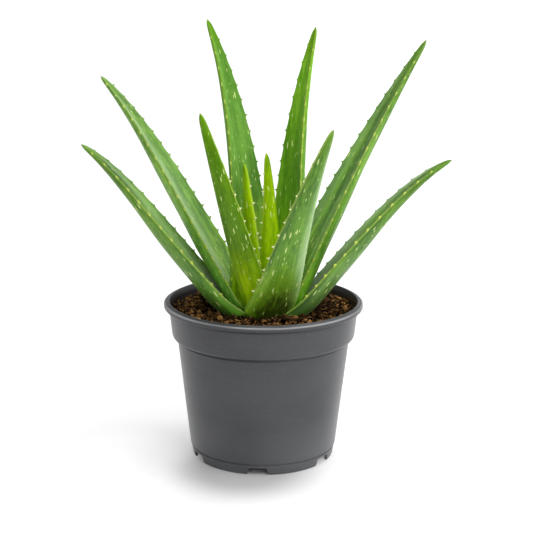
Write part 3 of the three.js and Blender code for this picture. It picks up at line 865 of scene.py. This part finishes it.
def with_teeth(leaf, body, teeth, others):
    """The body joined by its teeth, left out where another leaf lies close."""
    parts = [body]
    for way, distance, size in teeth:
        t = distance / leaf["length"]
        place, along, face, side = (v[0] for v in leaf_frames(leaf, [t]))
        lift = math.radians(leaf.get("lift", TOOTH_LIFT))
        out = side * way * math.cos(lift) + face * math.sin(lift)
        root = place + side * way * leaf_width(leaf, t) / 2
        near = others.find_nearest(Vector((root + out * 2) * MM), TOOTH_CLEARANCE * MM)
        if near[0] is not None:
            continue
        scale = size * look_of(leaf)["teeth"]
        points, faces, height = tooth_mesh(root, out, along, np.cross(along, out), scale)
        count = len(points)
        parts.append(dict(points=points, faces=faces, tooth=height, wax=np.zeros(count),
                          upper=np.full(count, 0.5), zone=np.zeros((count, 3)),
                          place=np.tile((way * 20.0, distance, 0), (count, 1)),
                          edge=np.tile((0.6, t, 0.6), (count, 1))))
    faces, offset = [], 0
    for part in parts:
        faces += shifted(part["faces"], offset)
        offset += len(part["points"])
    whole = {key: np.concatenate([part[key] for part in parts])
             for key in ("points", "place", "edge", "tooth", "wax", "upper", "zone")}
    return dict(whole, faces=faces)


def tree_of(*bodies):
    """The bodies as one tree in metres, to find the nearest of their faces."""
    points, faces = [], []
    for body in bodies:
        faces += shifted(body["faces"], len(points))
        points += (body["points"] * MM).tolist()
    return BVHTree.FromPolygons(points, faces)


def build_leaves():
    skins = {name: leaf_material(name) for name in SKINS}
    draw = seeded_random(TOOTH_SEED)
    teeth = [tooth_places(leaf, draw) for leaf in LEAVES]
    bodies = [leaf_body(leaf, k, teeth[k]) for k, leaf in enumerate(LEAVES)]
    for k, leaf in enumerate(LEAVES):
        young, inner = leaf["name"] in YOUNG_LEAVES, leaf["name"] in INNER_LEAVES
        skin = skins["aloe_young" if young else "aloe_inner" if inner else "aloe_outer"]
        others = tree_of(*(b for j, b in enumerate(bodies) if j != k))
        whole = with_teeth(leaf, bodies[k], teeth[k], others)
        count = len(whole["points"])
        look = look_of(leaf)
        foot, foot_back, tone, rim = (np.array(colour(look[key])[:3])
                                      for key in ("foot", "foot_back", "tone", "rim"))
        foot = foot_back + (foot - foot_back) * whole["upper"][:, None]
        share = whole["edge"][:, 1:2]
        tones = foot + (tone - foot) * smoothstep(share, 0.04, 0.42)
        tones = tones * (1 + (look["tip"] - 1) * smoothstep(share, 0.5, 0.95))
        looks = np.stack([whole["wax"], np.full(count, look["spots"]), whole["tooth"]], -1)
        pale_tooth = PALE_TOOTH if leaf["name"] in PALE_TOOTHED else YELLOW_TOOTH
        pale = whole["place"][:, :1] * look["pale"] >= 0
        bead_tones, tooth_tones = (
            np.where(pale, colour(light)[:3], colour(green)[:3])
            for light, green in ((PALE_BEAD, GREEN_BEAD), (pale_tooth, GREEN_TOOTH)))
        attributes = dict(
            leaf_place=whole["place"], leaf_edge=whole["edge"], leaf_look=looks,
            leaf_zone=whole["zone"], leaf_tone=tones, leaf_rim=np.tile(rim, (count, 1)),
            bead_tone=bead_tones, tooth_tone=tooth_tones)
        make_piece(leaf["name"] + "_skin", leaf["name"], "young_leaf" if young else "leaf",
                   whole["points"], whole["faces"], skin, attributes)
    return tree_of(*bodies)


def build_rootstock():
    """The stem in the soil and the crown that the leaves spring from."""
    profile = rounded([
        (0, STOCK_BOTTOM_Z, 0), (STOCK_RADIUS * 0.45, STOCK_BOTTOM_Z, 1.5),
        (STOCK_RADIUS * 0.85, STOCK_BOTTOM_Z + 12, 3), (STOCK_RADIUS, STOCK_BOTTOM_Z + 30, 3),
        (CROWN_RADIUS, CROWN_Z - 6, 3), (CROWN_RADIUS, CROWN_Z + 3, 3),
        (CROWN_RADIUS * 0.8, CROWN_TOP_Z - 3, 2), (CROWN_RADIUS * 0.4, CROWN_TOP_Z - 0.5, 2),
        (0, CROWN_TOP_Z - 0.5, 0)])
    points, faces = turned(profile, 64)
    lumps = np.array([noise.noise(Vector(p) * 0.25) for p in points])
    points[:, :2] *= (1 - 0.05 * np.abs(lumps))[:, None]
    make_piece("rootstock_crown", "rootstock", "rootstock", points, faces, stock_material())


# ---- soil
def soil_height(x, y):
    """Mounded towards the plant, with soft hollows."""
    radius = math.hypot(x, y)
    mound = SOIL_MOUND * (1 - smoothstep(radius, 26, SOIL_RADIUS))
    return SOIL_EDGE_Z + float(mound) + 1.3 * noise.noise(Vector((x * 0.05, y * 0.05, 3.0)))


def build_soil_bed(material):
    """The body of the soil, from the pot's floor to its rough surface, near-black as painted shade.
    """
    angles = np.linspace(0, 2 * np.pi, BED_SIDES, endpoint=False)
    below = [(wall_radius(FLOOR_Z + WALL) - WALL - 1.9, FLOOR_Z + WALL + 0.4),
             (wall_radius(LEDGE_Z - 2.5) - WALL - 0.4, LEDGE_Z - 2.5),
             (COLLAR_FOOT_RADIUS - WALL - 0.4, LEDGE_Z + 1.5)]
    rings = [[(r * math.cos(a), r * math.sin(a), z) for a in angles] for r, z in below]
    for radius in np.linspace(SOIL_RADIUS, 1, 90):
        ring = []
        for a in angles:
            x, y = radius * math.cos(a), radius * math.sin(a)
            fine = noise.fractal(Vector((x, y, 0)) * 0.45, 1.0, 2.0, 4)
            ring.append((x, y, soil_height(x, y) - BED_DEPTH + 1.1 * fine))
        rings.append(ring)
    points = [p for ring in rings for p in ring]
    points += [(0, 0, below[0][1]), (0, 0, soil_height(0, 0) - BED_DEPTH)]
    # A tone of zero: the bed is near-black, painted shade in the gaps between the crumbs.
    none = np.zeros(len(points))
    make_piece("soil_bed", "soil", "soil", points, skin_faces(len(rings), BED_SIDES), material,
               dict(crumb_tone=none, crumb_pale=none))


def lump_shapes(subdivisions, count, rng):
    """A few irregular crumb shapes of unit size to copy about."""
    shapes = []
    for _ in range(count):
        bm = bmesh.new()
        bmesh.ops.create_icosphere(bm, subdivisions=subdivisions, radius=1)
        shift = Vector([rng.uniform(-50, 50) for _ in range(3)])
        squash = Vector((rng.uniform(0.8, 1.25), rng.uniform(0.75, 1.1), rng.uniform(0.6, 0.9)))
        points = []
        for v in bm.verts:
            bumps = 1 + 0.55 * noise.noise(v.co * 1.3 + shift)
            bumps = bumps + 0.6 * noise.noise(v.co * 2.9 + shift)
            points.append(tuple(v.co * bumps * squash))
        shapes.append((np.array(points), [tuple(v.index for v in f.verts) for f in bm.faces]))
        bm.free()
    return shapes


def build_crumbs(name, material, leaves, rng, shapes, count, sizes, tones, pale, drop):
    """Crumbs scattered over the surface, none inside a leaf or through the pot's wall."""
    points, faces, tone, light = [], [], [], []
    total = 0
    for _ in range(count):
        a, r = rng.uniform(0, 2 * math.pi), SOIL_RADIUS * math.sqrt(rng.random())
        size = sizes[0] + (sizes[1] - sizes[0]) * rng.random() ** 1.5
        r = min(r, SOIL_RADIUS - size * 0.8)
        x, y = r * math.cos(a), r * math.sin(a)
        level = soil_height(x, y)
        z = level - drop + size * rng.uniform(-0.3, 0.35)
        centre = Vector((x, y, z)) * MM
        hit = leaves.find_nearest(centre, size * MM)
        if hit[0] is not None and ((centre - hit[0]).dot(hit[1]) < 0
                                   or hit[3] < size * 0.45 * MM):
            continue
        shape, skin = shapes[rng.randrange(len(shapes))]
        turn = np.array(Matrix.Rotation(rng.uniform(0, 6.28), 3, Vector(
            (rng.gauss(0, 1), rng.gauss(0, 1), rng.gauss(0, 1) + 0.01)).normalized()))
        placed = shape @ turn.T * size + (x, y, z)
        points.append(placed)
        faces += shifted(skin, total)
        total += len(shape)
        near = leaves.find_nearest(Vector((x, y, z + 2)) * MM)[3] / MM
        # Painted shade: darker near the leaves.
        leaf_shade = LEAF_SHADE_TONE + (1 - LEAF_SHADE_TONE) * float(smoothstep(near, *LEAF_SHADE_REACH))
        # Painted shade: darker low down between the crumbs, lighter on top.
        lit_share = CRUMB_SHADED_TONE + (1 - CRUMB_SHADED_TONE) * smoothstep(placed[:, 2] - level, *CRUMB_SHADE_HEIGHTS)
        tone.append(rng.uniform(*tones) ** 1.3 * leaf_shade * lit_share)
        light.append(np.full(len(shape), rng.uniform(0.5, 0.95) if rng.random() < pale else 0))
    make_piece(name, "soil", "soil", np.vstack(points), faces, material,
               dict(crumb_tone=np.concatenate(tone), crumb_pale=np.concatenate(light)))


def build_fibres(material, leaves, rng):
    """Thin curled fibres of peat lying on the crumbs."""
    steps, sides = 9, 5
    points, faces, total = [], [], 0
    for _ in range(FIBRE_COUNT):
        a, r = rng.uniform(0, 2 * math.pi), (SOIL_RADIUS - 6) * math.sqrt(rng.random())
        x, y = r * math.cos(a), r * math.sin(a)
        heading, length = rng.uniform(0, 2 * math.pi), rng.uniform(2, 7)
        bend, thick = rng.uniform(-1.6, 1.6), rng.uniform(0.1, 0.2)
        near = leaves.find_nearest(Vector((x, y, soil_height(x, y))) * MM, FIBRE_CLEARANCE * MM)
        if near[0] is not None:
            continue
        rings = []
        for k in range(steps):
            turn = heading + bend * k / steps
            z = soil_height(x, y) + 1.4 + 0.9 * math.sin(math.pi * k / (steps - 1))
            side = np.array((-math.sin(turn), math.cos(turn), 0))
            slim = thick * (1 - 0.7 * abs(2 * k / (steps - 1) - 1) ** 3)
            for j in range(sides):
                b = 2 * math.pi * j / sides
                off = side * math.cos(b) + np.array((0, 0, math.sin(b)))
                rings.append(np.array((x, y, z)) + slim * off)
            x += math.cos(turn) * length / steps
            y += math.sin(turn) * length / steps
        middle = [np.mean(rings[:sides], 0), np.mean(rings[-sides:], 0)]
        points.append(np.array(rings + middle))
        faces += shifted(skin_faces(steps, sides), total)
        total += steps * sides + 2
    tone = np.repeat([rng.uniform(0.5, 1) for _ in points], [len(p) for p in points])
    make_piece("soil_fibres", "soil", "soil", np.vstack(points), faces, material,
               dict(crumb_tone=tone, crumb_pale=tone * FIBRE_PALENESS))


def build_soil(leaves):
    material = soil_material()
    rng = random.Random(SOIL_SEED)
    build_soil_bed(material)
    for name, subdivisions, kinds, *strewn in CRUMBS:
        shapes = lump_shapes(subdivisions, kinds, rng)
        build_crumbs(name, material, leaves, rng, shapes, *strewn)
    build_fibres(material, leaves, rng)


# ---- stage, light and camera
def build_stage():
    h = FLOOR_HALF
    floor = make_object("floor", [(-h, -h, 0), (h, -h, 0), (h, h, 0), (-h, h, 0)],
                        [(0, 1, 2, 3)], floor_material())


def sun(name, direction, strength, spread):
    """A wide, soft light that comes from this direction."""
    light = bpy.data.lights.new(name, "SUN")
    light.energy, light.angle = strength, math.radians(spread)
    lamp = bpy.data.objects.new(name, light)
    lamp.rotation_euler = Vector(direction).to_track_quat("Z", "Y").to_euler()
    bpy.context.scene.collection.objects.link(lamp)


def build_light():
    """White surroundings, brighter to the right and near the floor, and three soft lights."""
    n = Nodes(bpy.data.worlds.new("studio"))
    x, _, z = n.parts(n.add("ShaderNodeTexCoord").outputs["Generated"])
    background = n.tree.nodes["Background"]
    n.set(background.inputs["Color"], (1, 1, 1, 1))
    n.set(background.inputs["Strength"], n.product(n.ramp(x, -0.7, 0.9, WORLD_LEFT, WORLD_RIGHT),
                                                   n.ramp(z, 0.0, 0.5, 1.0, WORLD_ABOVE)))
    bpy.context.scene.world = n.owner
    for lamp in SUNS:
        sun(*lamp)
    bpy.context.scene.view_settings.view_transform = "Standard"


def build_camera():
    elevation, roll = math.radians(CAMERA_ELEVATION), math.radians(CAMERA_ROLL)
    forward = Vector((0, math.cos(elevation), -math.sin(elevation)))
    right, up = Vector((1, 0, 0)), Vector((0, math.sin(elevation), math.cos(elevation)))
    x = right * math.cos(roll) + up * math.sin(roll)
    y = -right * math.sin(roll) + up * math.cos(roll)
    place = (Vector(CAMERA_AIM) - forward * CAMERA_DISTANCE) * MM
    data = bpy.data.cameras.new("camera")
    data.sensor_width, data.sensor_fit = SENSOR_WIDTH, "HORIZONTAL"
    data.lens = SENSOR_WIDTH * FOCAL_PIXELS / FRAME_PIXELS
    data.clip_end = 100
    camera = bpy.data.objects.new("camera", data)
    camera.matrix_world = Matrix.Translation(place) @ Matrix((x, y, -forward)).transposed().to_4x4()
    bpy.context.scene.collection.objects.link(camera)
    bpy.context.scene.camera = camera


build_camera()
build_light()
build_stage()
build_pot()
leaf_tree = build_leaves()
build_rootstock()
build_soil(leaf_tree)
